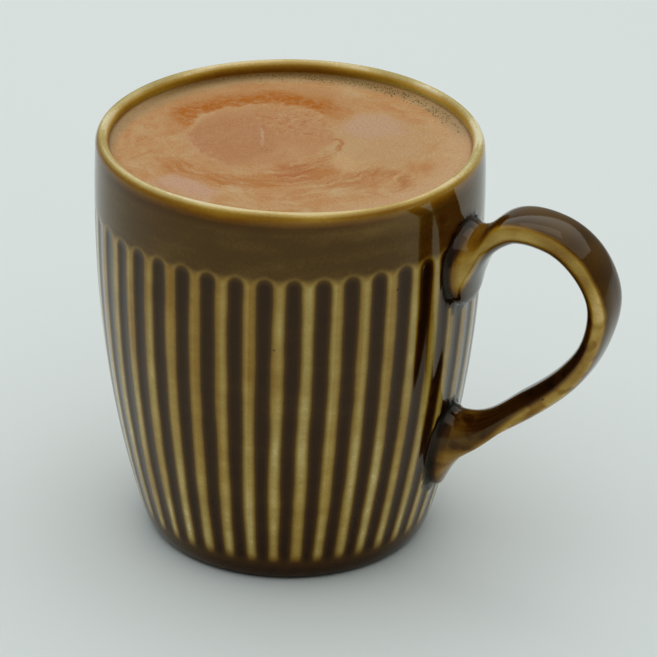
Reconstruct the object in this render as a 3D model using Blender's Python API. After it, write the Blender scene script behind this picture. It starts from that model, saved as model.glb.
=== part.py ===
"""A fluted stoneware mug, thrown with its handle pulled on, brim-full of caffe mocha.

Two pieces: the mug, which is one fired body with its handle, and the drink that fills it.
Lengths are metres. The origin is at the middle of the foot, on the surface that the mug
stands on, with +Z up and +X towards the handle.
"""
import math

import bmesh
import bpy
from mathutils import Vector

MM = 0.001

# Body, outside
MUG_HEIGHT = 93.15 * MM
BELLY_RADIUS = 42.3 * MM
BELLY_HEIGHT = 79.2 * MM
FOOT_TAPER = 11.1 * MM          # how much narrower the wall's line would be at the table
TAPER_POWER = 2.25              # how late the taper sets in on the way down
BASE_RADIUS = 28.8 * MM
HEEL_HEIGHT = 5.0 * MM
LIP_START = 91.3 * MM
LIP_RADIUS = 42.0 * MM
LIP_HALF_WIDTH = 1.40 * MM

# Body, inside
WALL_AT_LIP = 2.80 * MM
WALL_AT_FOOT = 4.6 * MM
FLOOR_HEIGHT = 6.0 * MM
FLOOR_ROUNDING = 11.0 * MM

# Flutes, carved between ridges that stay flush with the plain band above them
FLUTE_COUNT = 43
FLUTE_DEPTH = 0.35 * MM
FLUTE_TOP = 78.2 * MM
FLUTE_FOOT = 5.6 * MM
FLUTE_RUN_IN = 3.6 * MM         # height in which a flute reaches its depth, above the heel
FLUTE_ROUND_END = 2.6 * MM
RIDGE_SHARE = 0.38              # of the pitch from one ridge to the next
FLUTE_FLOOR_SHARE = 0.28
RIDGE_AT_FOOT = math.radians(-1.55)
RIDGE_LEAN = math.radians(33.5)     # turn of a ridge about the axis for each metre of height
RIDGE_BOW = math.radians(0.25)      # and how far it bows aside half way up

# Handle: stations of its middle line in the plane Y = 0, from the upper root to the lower
# (reach from the axis, height, thickness, width)
HANDLE_STATIONS = [
    (44.0 * MM, 74.9 * MM, 5.4 * MM, 12.9 * MM),
    (52.4 * MM, 83.6 * MM, 6.3 * MM, 12.4 * MM),
    (63.0 * MM, 83.9 * MM, 7.3 * MM, 11.2 * MM),
    (70.9 * MM, 78.9 * MM, 7.5 * MM, 10.9 * MM),
    (75.1 * MM, 70.1 * MM, 6.2 * MM, 10.7 * MM),
    (73.45 * MM, 59.7 * MM, 5.1 * MM, 10.4 * MM),
    (68.15 * MM, 50.3 * MM, 5.6 * MM, 10.2 * MM),
    (58.8 * MM, 41.35 * MM, 5.9 * MM, 10.5 * MM),
    (47.45 * MM, 33.35 * MM, 6.4 * MM, 10.9 * MM),
]
OUTER_FACE_SHARE = 0.32         # of the thickness, outside the middle line: the flatter face
CORNER_POWER = 0.8              # below 1 squares the section's corners
ROOT_SINK = 1.9 * MM            # how deep the handle's ends lie in the wall
ROOT_STATIONS = 1               # stations at each end that the roots take up

# Roots, where the handle's ends are pressed on to the wall: the heights of a root's edge under
# the handle's outer and inner face, half its width, how much wider it is under the inner
# face, how thick the pressed edge stands off the wall, how far it draws in as it does, and how
# squarely the handle's outer and inner face then leave the wall (0 runs up it, 1 stands off it)
UPPER_ROOT = {"outer": 81.8 * MM, "inner": 62.8 * MM, "half_width": 9.1 * MM, "lopsided": 0.0,
              "edge": 2.1 * MM, "draw_in": 0.07, "outer_lift": 0.9, "inner_lift": 0.12}
LOWER_ROOT = {"outer": 16.8 * MM, "inner": 37.0 * MM, "half_width": 6.5 * MM, "lopsided": 0.12,
              "edge": 2.1 * MM, "draw_in": 0.07, "outer_lift": 0.30, "inner_lift": 0.95}
ROOT_PULL = 1.15                # how strongly the faces keep to the wall before they turn away

# Drink
DRINK_LEVEL = 90.4 * MM
DRINK_GAP = 0.3 * MM
MENISCUS_RISE = 0.35 * MM
MENISCUS_WIDTH = 1.6 * MM

# Fineness
WALL_COLUMNS = 2 * FLUTE_COUNT
HANDLE_SIDES = 16
RINGS_PER_STATION = 4
ROOT_RINGS = 6


def wall_radius(z):
    """Radius of the ridges and the plain band at a height above the heel."""
    if z < BELLY_HEIGHT:
        fall = (BELLY_HEIGHT - z) / BELLY_HEIGHT
        return BELLY_RADIUS - FOOT_TAPER * fall ** TAPER_POWER
    rise = (z - BELLY_HEIGHT) / (LIP_START - BELLY_HEIGHT)
    return BELLY_RADIUS - (BELLY_RADIUS - LIP_RADIUS) * rise ** 2


def inner_radius(z):
    """Radius of the straight part of the inner wall at a height."""
    wall = WALL_AT_LIP + (WALL_AT_FOOT - WALL_AT_LIP) * (1.0 - z / MUG_HEIGHT)
    return wall_radius(z) - wall


def heel_profile(steps):
    """(radius, height) of the rounding between the base and the wall, base first."""
    slope = (wall_radius(HEEL_HEIGHT + MM) - wall_radius(HEEL_HEIGHT)) / MM
    start = Vector((BASE_RADIUS, 0.0))
    corner = Vector((wall_radius(HEEL_HEIGHT) - slope * HEEL_HEIGHT, 0.0))
    end = Vector((wall_radius(HEEL_HEIGHT), HEEL_HEIGHT))
    points = []
    for step in range(steps):
        t = step / steps
        point = (1 - t) ** 2 * start + 2 * t * (1 - t) * corner + t ** 2 * end
        points.append((point.x, point.y))
    return points


def lip_profile(steps):
    """(radius, height) over the lip's half-round, from outside to inside."""
    middle = LIP_RADIUS - LIP_HALF_WIDTH
    points = []
    for step in range(steps + 1):
        turn = math.pi * step / steps
        points.append((middle + LIP_HALF_WIDTH * math.cos(turn),
                       LIP_START + (MUG_HEIGHT - LIP_START) * math.sin(turn)))
    return points


def well_profile(top, rows, corner_steps, gap):
    """(radius, height) of the mug's inside, from a height down to the floor's middle part."""
    corner_top = FLOOR_HEIGHT + FLOOR_ROUNDING
    points = []
    for row in range(rows):
        z = top + (corner_top - top) * row / rows
        points.append((inner_radius(z) - gap, z))
    corner_radius = inner_radius(corner_top)
    for step in range(corner_steps + 1):
        turn = 0.5 * math.pi * step / corner_steps
        points.append((corner_radius - FLOOR_ROUNDING * (1 - math.cos(turn)) - gap * math.cos(turn),
                       corner_top - FLOOR_ROUNDING * math.sin(turn) + gap * math.sin(turn)))
    return points


def turned_ring(mesh, radius, z, columns, turn=0.0):
    """A ring of vertices about the axis."""
    ring = []
    for column in range(columns):
        angle = turn + 2 * math.pi * column / columns
        ring.append(mesh.verts.new((radius * math.cos(angle), radius * math.sin(angle), z)))
    return ring


def ridge_turn(z):
    """Angle of the ridge that runs down behind the handle."""
    share = z / FLUTE_TOP
    return RIDGE_AT_FOOT + RIDGE_LEAN * z + 4 * RIDGE_BOW * share * (1 - share)


def fluted_ring(mesh, z, depth, floor_share):
    """A ring with four vertices to a pitch: the ridge's two edges and the flute's floor."""
    pitch = 2 * math.pi / FLUTE_COUNT
    start = ridge_turn(z)
    places = [(-RIDGE_SHARE / 2, 0.0), (RIDGE_SHARE / 2, 0.0),
              ((1 - floor_share) / 2, depth), ((1 + floor_share) / 2, depth)]
    ring = []
    for flute in range(FLUTE_COUNT):
        for share, cut in places:
            angle = start + (flute + share) * pitch
            radius = wall_radius(z) - cut
            ring.append(mesh.verts.new((radius * math.cos(angle), radius * math.sin(angle), z)))
    return ring


def join_rings(mesh, lower, upper):
    """Faces between two rings, outward when upper follows lower up the outside of a shape.

    The rings may have equal counts, or one may have twice the other's.
    """
    count = max(len(lower), len(upper))
    for i in range(count):
        a, b = (i * len(lower)) // count, (((i + 1) % count) * len(lower)) // count
        c, d = (i * len(upper)) // count, (((i + 1) % count) * len(upper)) // count
        corners = []
        for vertex in (lower[a], lower[b], upper[d], upper[c]):
            if vertex not in corners:
                corners.append(vertex)
        mesh.faces.new(corners)


def finish_mesh(name, mesh):
    """A linked object from a bmesh, with all faces triangles that point outwards."""
    bmesh.ops.triangulate(mesh, faces=mesh.faces)
    bmesh.ops.recalc_face_normals(mesh, faces=mesh.faces)
    data = bpy.data.meshes.new(name)
    mesh.to_mesh(data)
    mesh.free()
    piece = bpy.data.objects.new(name, data)
    bpy.context.scene.collection.objects.link(piece)
    return piece


def make_body():
    """The thrown body with its flutes, before the handle is put on."""
    mesh = bmesh.new()
    rings = []
    for radius, z in heel_profile(3):
        rings.append(turned_ring(mesh, radius, z, WALL_COLUMNS, RIDGE_AT_FOOT))
    rings.append(fluted_ring(mesh, FLUTE_FOOT, 0.0, FLUTE_FLOOR_SHARE))
    full_from, full_to = FLUTE_FOOT + FLUTE_RUN_IN, FLUTE_TOP - FLUTE_ROUND_END
    tall_rows = 6
    for row in range(tall_rows + 1):
        z = full_from + (full_to - full_from) * row / tall_rows
        rings.append(fluted_ring(mesh, z, FLUTE_DEPTH, FLUTE_FLOOR_SHARE))
    rings.append(fluted_ring(mesh, FLUTE_TOP - 0.35 * FLUTE_ROUND_END, 0.75 * FLUTE_DEPTH,
                             0.4 * FLUTE_FLOOR_SHARE))
    rings.append(fluted_ring(mesh, FLUTE_TOP, 0.0, 0.2 * FLUTE_FLOOR_SHARE))
    turn = ridge_turn(FLUTE_TOP)
    band_rows = 2
    for row in range(1, band_rows + 1):
        z = FLUTE_TOP + (LIP_START - FLUTE_TOP) * row / (band_rows + 1)
        rings.append(turned_ring(mesh, wall_radius(z), z, WALL_COLUMNS, turn))
    for radius, z in lip_profile(6):
        rings.append(turned_ring(mesh, radius, z, WALL_COLUMNS, turn))
    for radius, z in well_profile(DRINK_LEVEL, 5, 4, 0.0):
        rings.append(turned_ring(mesh, radius, z, WALL_COLUMNS, turn))
    for lower, upper in zip(rings, rings[1:]):
        join_rings(mesh, lower, upper)
    mesh.faces.new(list(reversed(rings[0])))
    mesh.faces.new(rings[-1])
    return finish_mesh("mug", mesh)


def spline(values, place):
    """Catmull-Rom value of a list of vectors at a place from 0 to len(values) - 1."""
    last = len(values) - 1
    index = min(int(place), last - 1)
    t = place - index
    before = values[index - 1] if index else 2 * values[0] - values[1]
    after = values[index + 2] if index + 2 <= last else 2 * values[last] - values[last - 1]
    a, b = values[index], values[index + 1]
    return 0.5 * (2 * a + (b - before) * t + (2 * before - 5 * a + 4 * b - after) * t ** 2
                  + (3 * a - before - 3 * b + after) * t ** 3)


def section_offsets(thickness, width):
    """(sideways, outward) offsets round the handle's section, flatter on the outer face."""
    offsets = []
    for side in range(HANDLE_SIDES):
        turn = 2 * math.pi * side / HANDLE_SIDES
        across, out = math.cos(turn), math.sin(turn)
        sideways = math.copysign(abs(across) ** CORNER_POWER, across) * width / 2
        if out > 0:
            outward = out ** CORNER_POWER * OUTER_FACE_SHARE * thickness
        else:
            outward = out * (1 - OUTER_FACE_SHARE) * thickness
        offsets.append((sideways, outward))
    return offsets


def handle_section(place):
    """The section's points at a place along the stations, and the middle line's direction."""
    stations = [Vector(station) for station in HANDLE_STATIONS]
    step = 0.01
    ahead = min(place + step, len(stations) - 1)
    behind = max(place - step, 0.0)
    x, z, thickness, width = spline(stations, place)
    front, back = spline(stations, ahead), spline(stations, behind)
    along = Vector((front[0] - back[0], 0.0, front[1] - back[1])).normalized()
    outward = Vector((-along.z, 0.0, along.x))
    middle = Vector((x, 0.0, z))
    points = [middle + Vector((0.0, sideways, 0.0)) + outward * out
              for sideways, out in section_offsets(thickness, width)]
    return points, along


def root_outline(root, lift, scale=1.0):
    """The root's edge as points above the wall's surface, or below it for a negative lift."""
    middle = 0.5 * (root["outer"] + root["inner"])
    half = 0.5 * (root["outer"] - root["inner"]) * scale
    points = []
    for side in range(HANDLE_SIDES):
        turn = 2 * math.pi * side / HANDLE_SIDES
        z = middle + half * math.sin(turn)
        y = root["half_width"] * scale * math.cos(turn) * (1 - root["lopsided"] * math.sin(turn))
        radius = wall_radius(z) + lift
        points.append(Vector((math.sqrt(radius ** 2 - y ** 2), y, z)))
    return points


def root_rings(root, place, inwards):
    """Rings from the root's sunk end, over its pressed edge, to the section at a place."""
    edge = root_outline(root, root["edge"], 1 - root["draw_in"])
    section, along = handle_section(place)
    leaving = along * inwards
    centre = sum(edge, Vector()) / len(edge)
    rings = [root_outline(root, -ROOT_SINK), root_outline(root, 0.35 * root["edge"])]
    for ring in range(ROOT_RINGS):
        t = ring / ROOT_RINGS
        points = []
        for side, (start, end) in enumerate(zip(edge, section)):
            outer = 0.5 + 0.5 * math.sin(2 * math.pi * side / HANDLE_SIDES)
            lift = outer * root["outer_lift"] + (1 - outer) * root["inner_lift"]
            up_the_wall = Vector((0.0, centre.y - start.y, centre.z - start.z)).normalized()
            off_the_wall = Vector((start.x, start.y, 0.0)).normalized()
            pull = (end - start).length * ROOT_PULL
            away = (off_the_wall * lift + up_the_wall * (1 - lift)).normalized() * pull
            back = leaving * pull
            points.append((2 * t ** 3 - 3 * t ** 2 + 1) * start + (t ** 3 - 2 * t ** 2 + t) * away
                          + (3 * t ** 2 - 2 * t ** 3) * end + (t ** 3 - t ** 2) * back)
        rings.append(points)
    return rings


def make_handle():
    """The pulled strap with both its roots, as one closed loft that ends inside the wall."""
    last = len(HANDLE_STATIONS) - 1
    first_free, last_free = ROOT_STATIONS, last - ROOT_STATIONS
    rings = root_rings(UPPER_ROOT, first_free, 1)
    count = round((last_free - first_free) * RINGS_PER_STATION)
    for ring in range(count + 1):
        place = first_free + (last_free - first_free) * ring / count
        rings.append(handle_section(place)[0])
    rings.extend(reversed(root_rings(LOWER_ROOT, last_free, -1)))
    mesh = bmesh.new()
    loops = [[mesh.verts.new(point) for point in ring] for ring in rings]
    for lower, upper in zip(loops, loops[1:]):
        join_rings(mesh, lower, upper)
    mesh.faces.new(list(reversed(loops[0])))
    mesh.faces.new(loops[-1])
    return finish_mesh("handle_blank", mesh)


def make_drink():
    """The mocha, filling the mug's inside up to a flat top that climbs a little at the wall."""
    mesh = bmesh.new()
    edge_level = DRINK_LEVEL + MENISCUS_RISE
    turn = ridge_turn(FLUTE_TOP)
    sides = [(inner_radius(edge_level) - DRINK_GAP, edge_level)]
    sides += well_profile(DRINK_LEVEL, 5, 4, DRINK_GAP)
    edge = sides[0][0]
    top = [(edge * 0.35, DRINK_LEVEL), (edge * 0.7, DRINK_LEVEL),
           (edge - MENISCUS_WIDTH, DRINK_LEVEL),
           (edge - 0.4 * MENISCUS_WIDTH, DRINK_LEVEL + 0.3 * MENISCUS_RISE)]
    loops = [turned_ring(mesh, radius, z, WALL_COLUMNS, turn) for radius, z in top + sides]
    for upper, lower in zip(loops, loops[1:]):
        join_rings(mesh, lower, upper)
    mesh.faces.new(loops[0])
    mesh.faces.new(list(reversed(loops[-1])))
    return finish_mesh("mocha", mesh)


def give_material(piece, name, colour, roughness):
    """A Principled material in the piece's only slot."""
    material = bpy.data.materials.new(name)
    material.use_nodes = True
    shader = material.node_tree.nodes["Principled BSDF"]
    shader.inputs["Base Color"].default_value = (*colour, 1.0)
    shader.inputs["Roughness"].default_value = roughness
    shader.inputs["Metallic"].default_value = 0.0
    material.diffuse_color = (*colour, 1.0)
    piece.data.materials.append(material)


def fuse(body, addition):
    """Joins a second closed shape to the body with an exact union, and removes the second."""
    union = body.modifiers.new("union", "BOOLEAN")
    union.operation = "UNION"
    union.solver = "EXACT"
    union.object = addition
    graph = bpy.context.evaluated_depsgraph_get()
    fused = bpy.data.meshes.new_from_object(body.evaluated_get(graph))
    body.modifiers.remove(union)
    body.data = fused
    bpy.data.objects.remove(addition)


def shade(piece, angle):
    """Smooth shading with edges sharper than the angle kept crisp."""
    piece.data.shade_smooth()
    piece.data.set_sharp_from_angle(angle=math.radians(angle))


for thing in list(bpy.data.objects):
    bpy.data.objects.remove(thing)

mug = make_body()
fuse(mug, make_handle())
mug.data.name = "mug"
give_material(mug, "amber_glazed_stoneware", (0.072, 0.040, 0.012), 0.12)
shade(mug, 35)

mocha = make_drink()
give_material(mocha, "caffe_mocha", (0.48, 0.27, 0.14), 0.3)
shade(mocha, 35)
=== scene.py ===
import math

import bmesh
import bpy
import numpy as np
from mathutils import Matrix, Vector
from mathutils.kdtree import KDTree
from mathutils.noise import noise as noise_at


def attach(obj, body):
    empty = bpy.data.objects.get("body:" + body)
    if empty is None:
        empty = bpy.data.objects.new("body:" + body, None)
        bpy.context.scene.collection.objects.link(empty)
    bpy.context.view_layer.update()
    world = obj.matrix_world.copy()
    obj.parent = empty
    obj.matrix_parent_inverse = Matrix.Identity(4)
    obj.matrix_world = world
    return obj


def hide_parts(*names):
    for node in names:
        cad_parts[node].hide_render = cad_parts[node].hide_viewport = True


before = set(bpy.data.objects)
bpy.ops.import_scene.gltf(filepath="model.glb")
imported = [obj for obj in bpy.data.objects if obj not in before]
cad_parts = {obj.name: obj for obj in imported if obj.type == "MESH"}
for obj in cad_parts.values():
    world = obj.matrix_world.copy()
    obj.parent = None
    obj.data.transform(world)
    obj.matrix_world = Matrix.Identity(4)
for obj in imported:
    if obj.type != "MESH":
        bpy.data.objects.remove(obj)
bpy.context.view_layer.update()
MM = 0.001

# ---------------------------------------------------------------- camera
# A long lens on a tripod, a little over arm's length away and above the table, looking down
# on the mug from the side that the handle is a quarter turn past.
view_turn = math.radians(26.14)         # from +Y, so that the handle points right and forwards
view_tilt = math.radians(26.61)         # below the horizon
view_roll = math.radians(0.85)
sensor_width = 36.0
lens_pixels = 4000.0                    # focal length, counted in pixels of the picture
picture_pixels = 657
eye = Vector((8.75, -787.4, 440.7)) * MM

camera_data = bpy.data.cameras.new("camera")
camera_data.sensor_width = sensor_width
camera_data.lens = sensor_width * lens_pixels / picture_pixels
camera_data.clip_start = 0.05
camera_data.clip_end = 20.0
camera = bpy.data.objects.new("camera", camera_data)
aim = Matrix.Rotation(view_turn, 4, "Z")
camera.matrix_world = (aim @ Matrix.Translation(eye)
                       @ Matrix.Rotation(math.radians(90) - view_tilt, 4, "X")
                       @ Matrix.Rotation(view_roll, 4, "Z"))
bpy.context.scene.collection.objects.link(camera)
bpy.context.scene.camera = camera
bpy.context.scene.view_settings.view_transform = "Standard"
bpy.context.scene.view_settings.look = "None"
# A camera's own contrast: the deepest tones are printed a little deeper than they are.
tone = bpy.context.scene.view_settings
tone.use_curve_mapping = True
tone_curve = tone.curve_mapping.curves[3]
for scene_light, printed in ((0.02, 0.0065), (0.05, 0.031), (0.10, 0.083), (0.20, 0.190), (0.40, 0.41)):
    tone_curve.points.new(scene_light, printed)
tone.curve_mapping.update()


# ---------------------------------------------------------------- table and light
# A matt white sweep under a light tent: one broad soft box overhead and behind, the tent's
# pale cloth all round, and nothing bright enough to leave a hard highlight in the glaze.
def linear(colour):
    """Linear RGBA of an sRGB hex colour."""
    channels = [int(colour[i:i + 2], 16) / 255 for i in (0, 2, 4)]
    return [c / 12.92 if c <= 0.04045 else ((c + 0.055) / 1.055) ** 2.4 for c in channels] + [1.0]


def add_node(tree, kind, settings=None, links=None, out=None):
    """A node with its settings, and its inputs linked or given values by name or in order.

    A kind without the word Node is a shader node. A colour ramp's stops are a setting too. One
    output is returned if it is asked for.
    """
    made = tree.nodes.new(kind if "Node" in kind else "ShaderNode" + kind)
    for name, value in (settings or {}).items():
        if name != "stops":
            setattr(made, name, value)
            continue
        band = made.color_ramp
        while len(band.elements) < len(value):
            band.elements.new(0.5)
        for element, (position, colour) in zip(band.elements, value):
            element.position = position
            element.color = linear(colour)
    if not isinstance(links, dict):
        links = dict(enumerate(links or ()))
    for place, value in links.items():
        if isinstance(value, bpy.types.NodeSocket):
            tree.links.new(value, made.inputs[place])
        else:
            made.inputs[place].default_value = value
    return made if out is None else made.outputs[out]


def new_material(name):
    """An empty material, its node tree, and the place on the object's surface."""
    material = bpy.data.materials.new(name)
    material.use_nodes = True
    material.node_tree.nodes.clear()
    return material, material.node_tree, add_node(material.node_tree, "TexCoord", out="Object")


# Matt white paper: it gives the eye a soft, even ground without a shine or a grain.
sweep, tree, surface = new_material("matt_white_sweep")
mottle = add_node(tree, "TexNoise", None, {"Vector": surface, "Scale": 0.006 / MM}, "Fac")
paper = add_node(tree, "Mix", {"data_type": "RGBA"},
                 {"Factor": mottle, 6: linear("e8ecea"), 7: linear("e5e9e7")}, 2)
shader = add_node(tree, "BsdfPrincipled", None, {
    "Base Color": paper, "Roughness": 0.75, "IOR": 1.3}, 0)
add_node(tree, "OutputMaterial", links={"Surface": shader})

table_half = 2.2
mesh = bmesh.new()
mesh.faces.new([mesh.verts.new((x * table_half, y * table_half, 0.0))
                for x, y in ((-1, -1), (1, -1), (1, 1), (-1, 1))])
table_data = bpy.data.meshes.new("table")
mesh.to_mesh(table_data)
mesh.free()
table = bpy.data.objects.new("table", table_data)
table.data.materials.append(sweep)
bpy.context.scene.collection.objects.link(table)


def soft_box(name, place, target, size, power, colour):
    """A square lamp at a place, turned to a target; both are seen from the camera's side."""
    data = bpy.data.lights.new(name, "AREA")
    data.shape = "SQUARE"
    data.size = size
    data.energy = power
    data.color = linear(colour)[:3]
    lamp = bpy.data.objects.new(name, data)
    place, target = aim @ Vector(place), aim @ Vector(target)
    lamp.location = place
    lamp.rotation_euler = (place - target).to_track_quat("Z", "Y").to_euler()
    bpy.context.scene.collection.objects.link(lamp)


soft_box("overhead_lamp", (0.02, 0.12, 0.94), (0.0, 0.0, 0.0), 0.60, 0.7, "fffdf8")
soft_box("overhead_box", (-0.06, 0.30, 0.95), (-0.06, 0.30, 0.0), 2.4, 13.7, "f4fbfc")

tent = bpy.data.worlds.new("tent")
tent.use_nodes = True
tent.node_tree.nodes.clear()
cloth = add_node(tent.node_tree, "Background", None, {
    "Color": linear("f0f4f3"), "Strength": 0.37}, 0)
add_node(tent.node_tree, "OutputWorld", links={"Surface": cloth})
bpy.context.scene.world = tent


# ---------------------------------------------------------------- mug, thrown body
# Stoneware thrown on a wheel: a gently bellied wall that draws in to the foot, a half-round
# lip and a flat base. Before glazing, a loop tool carves the flutes and leaves the ridges.
mug_height = 93.15 * MM
belly_radius, belly_height = 42.29 * MM, 79.2 * MM
foot_taper, taper_power = 11.1 * MM, 2.25
base_radius, heel_height = 28.8 * MM, 5.0 * MM
lip_start, lip_radius, lip_half_width = 91.3 * MM, 42.0 * MM, 1.40 * MM
wall_at_lip, wall_at_foot = 2.80 * MM, 4.6 * MM
floor_height, floor_rounding = 6.0 * MM, 11.0 * MM
flute_count = 43
heel_rows, lip_rows = 9, 17             # of the mesh, round the heel and over the lip
run_in_end, tips_start, tips_end = 10 * MM, 73 * MM, 80 * MM
flute_top, flute_foot = 78.2 * MM, 5.6 * MM
flute_depth = 0.15 * MM
ridge_at_foot = math.radians(-1.55)
ridge_lean = math.radians(33.5)         # turn of a ridge about the axis for each metre of height
ridge_bow = math.radians(0.25)          # and how far it bows aside half way up
pitch = 2 * math.pi / flute_count
# places of the mesh's columns across one pitch, closest at the two edges of the ridge
column_shares = (0.0, 0.07, 0.13, 0.17, 0.205, 0.24, 0.28, 0.34, 0.42,
                 0.5, 0.58, 0.66, 0.72, 0.76, 0.795, 0.83, 0.87, 0.93)


def wall_radius(z):
    """Radius of the ridges and the plain band at a height above the heel."""
    z = np.asarray(z, float)
    fall = np.clip((belly_height - z) / belly_height, 0.0, None)
    rise = np.clip((z - belly_height) / (lip_start - belly_height), 0.0, None)
    return belly_radius - foot_taper * fall ** taper_power - (belly_radius - lip_radius) * rise ** 2


def inner_radius(z):
    """Radius of the straight part of the inner wall at a height."""
    return wall_radius(z) - wall_at_lip - (wall_at_foot - wall_at_lip) * (1.0 - np.asarray(z) / mug_height)


def ridge_turn(z):
    """Angle of the ridge that runs down behind the handle."""
    share = z / flute_top
    return ridge_at_foot + ridge_lean * z + 4 * ridge_bow * share * (1 - share)


def well_profile(top, rows, corner_steps, gap):
    """(radius, height) of the mug's inside, from a height down to the floor's middle part."""
    corner_top = floor_height + floor_rounding
    straight = np.linspace(top, corner_top, rows, endpoint=False)
    points = [(float(inner_radius(z)) - gap, z) for z in straight]
    corner_radius = float(inner_radius(corner_top))
    for turn in np.linspace(0.0, 0.5 * math.pi, corner_steps + 1):
        points.append((corner_radius - floor_rounding * (1 - math.cos(turn)) - gap * math.cos(turn),
                       corner_top - floor_rounding * math.sin(turn) + gap * math.sin(turn)))
    return points


def turned_ring(mesh, radius, z, angles):
    """A ring of vertices about the axis."""
    return [mesh.verts.new((radius * math.cos(a), radius * math.sin(a), z)) for a in angles]


def join_rings(mesh, lower, upper):
    """Faces between two rings, whose counts may differ by a whole factor."""
    count = max(len(lower), len(upper))
    for i in range(count):
        a, b = (i * len(lower)) // count, (((i + 1) % count) * len(lower)) // count
        c, d = (i * len(upper)) // count, (((i + 1) % count) * len(upper)) // count
        corners = []
        for vertex in (lower[a], lower[b], upper[d], upper[c]):
            if vertex not in corners:
                corners.append(vertex)
        mesh.faces.new(corners)


def make_piece(name, mesh):
    """A linked object from a bmesh, closed and facing outwards."""
    bmesh.ops.recalc_face_normals(mesh, faces=mesh.faces)
    data = bpy.data.meshes.new(name)
    mesh.to_mesh(data)
    mesh.free()
    piece = bpy.data.objects.new(name, data)
    bpy.context.scene.collection.objects.link(piece)
    return piece


columns = [(flute + share) * pitch for flute in range(flute_count) for share in column_shares]
half_columns = columns[::2]

outside = []
heel_slope = float(wall_radius(heel_height + MM) - wall_radius(heel_height)) / MM
heel_line = [Vector((base_radius, 0.0)),
             Vector((float(wall_radius(heel_height)) - heel_slope * heel_height, 0.0)),
             Vector((float(wall_radius(heel_height)), heel_height))]
for row in range(heel_rows):
    t = row / heel_rows
    point = (1 - t) ** 2 * heel_line[0] + 2 * t * (1 - t) * heel_line[1] + t ** 2 * heel_line[2]
    outside.append((point.x, point.y))
# the rows of the mesh lie closest where the flutes run in and where they end
for low, high, rows in ((heel_height, run_in_end, 7), (run_in_end, tips_start, 26),
                        (tips_start, tips_end, 24), (tips_end, lip_start, 8)):
    outside += [(float(wall_radius(z)), z) for z in np.linspace(low, high, rows, endpoint=False)]
for turn in np.linspace(0.0, math.pi, lip_rows):
    outside.append((lip_radius - lip_half_width + lip_half_width * math.cos(turn),
                    lip_start + (mug_height - lip_start) * math.sin(turn)))
inside = well_profile(lip_start - 1.2 * MM, 9, 6, 0.0)

mesh = bmesh.new()
base_rings = [turned_ring(mesh, base_radius * share, 0.0, half_columns) for share in (0.3, 0.6, 0.9)]
wall_rings = [turned_ring(mesh, radius, z, [a + ridge_turn(z) for a in columns]) for radius, z in outside]
lip_turn = ridge_turn(lip_start)
well_rings = [turned_ring(mesh, radius, z, [a + lip_turn for a in half_columns]) for radius, z in inside]
rings = base_rings + wall_rings + well_rings
for lower, upper in zip(rings, rings[1:]):
    join_rings(mesh, lower, upper)
mesh.faces.new(list(reversed(base_rings[0])))
mesh.faces.new(well_rings[-1])
mug = make_piece("mug_body", mesh)

# The carving: how far a point lies inside the nearest flute's edge line gives the cut, with
# a round upper end, a fade-out above the heel and edges softened by the glaze.
carving_values = {"Flutes": flute_count, "Depth": flute_depth, "Top": flute_top, "Foot": flute_foot,
                  "Run in": 3.6 * MM, "Half share": 0.325, "Edge": 0.5 * MM, "Wander": 0.16 * MM}


def new_geometry_tree(name, values):
    """A Geometry Nodes tree with a named input for each value, and the sockets that give them."""
    tree = bpy.data.node_groups.new(name, "GeometryNodeTree")
    tree.interface.new_socket("Geometry", in_out="INPUT", socket_type="NodeSocketGeometry")
    for label, value in values.items():
        kind = "NodeSocketInt" if isinstance(value, int) else "NodeSocketFloat"
        tree.interface.new_socket(label, in_out="INPUT", socket_type=kind)
    tree.interface.new_socket("Geometry", in_out="OUTPUT", socket_type="NodeSocketGeometry")
    return tree, add_node(tree, "NodeGroupInput").outputs


def add_steps(tree, known, steps):
    """A node for each step, kept under its name: its kind and operation, then its inputs in order.

    Ease is a map range with soft ends; its four limits are from, from, to and to.
    """
    for name, kind, *inputs in steps:
        kind, _, operation = kind.replace("Ease", "MapRange SMOOTHSTEP").partition(" ")
        setting = "interpolation_type" if kind == "MapRange" else "operation"
        out = 1 if operation in ("LENGTH", "DOT_PRODUCT") else 0
        inputs = [known[value] if isinstance(value, str) else value for value in inputs]
        known[name] = add_node(tree, kind, {setting: operation} if operation else None, inputs, out)
    return known


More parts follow.
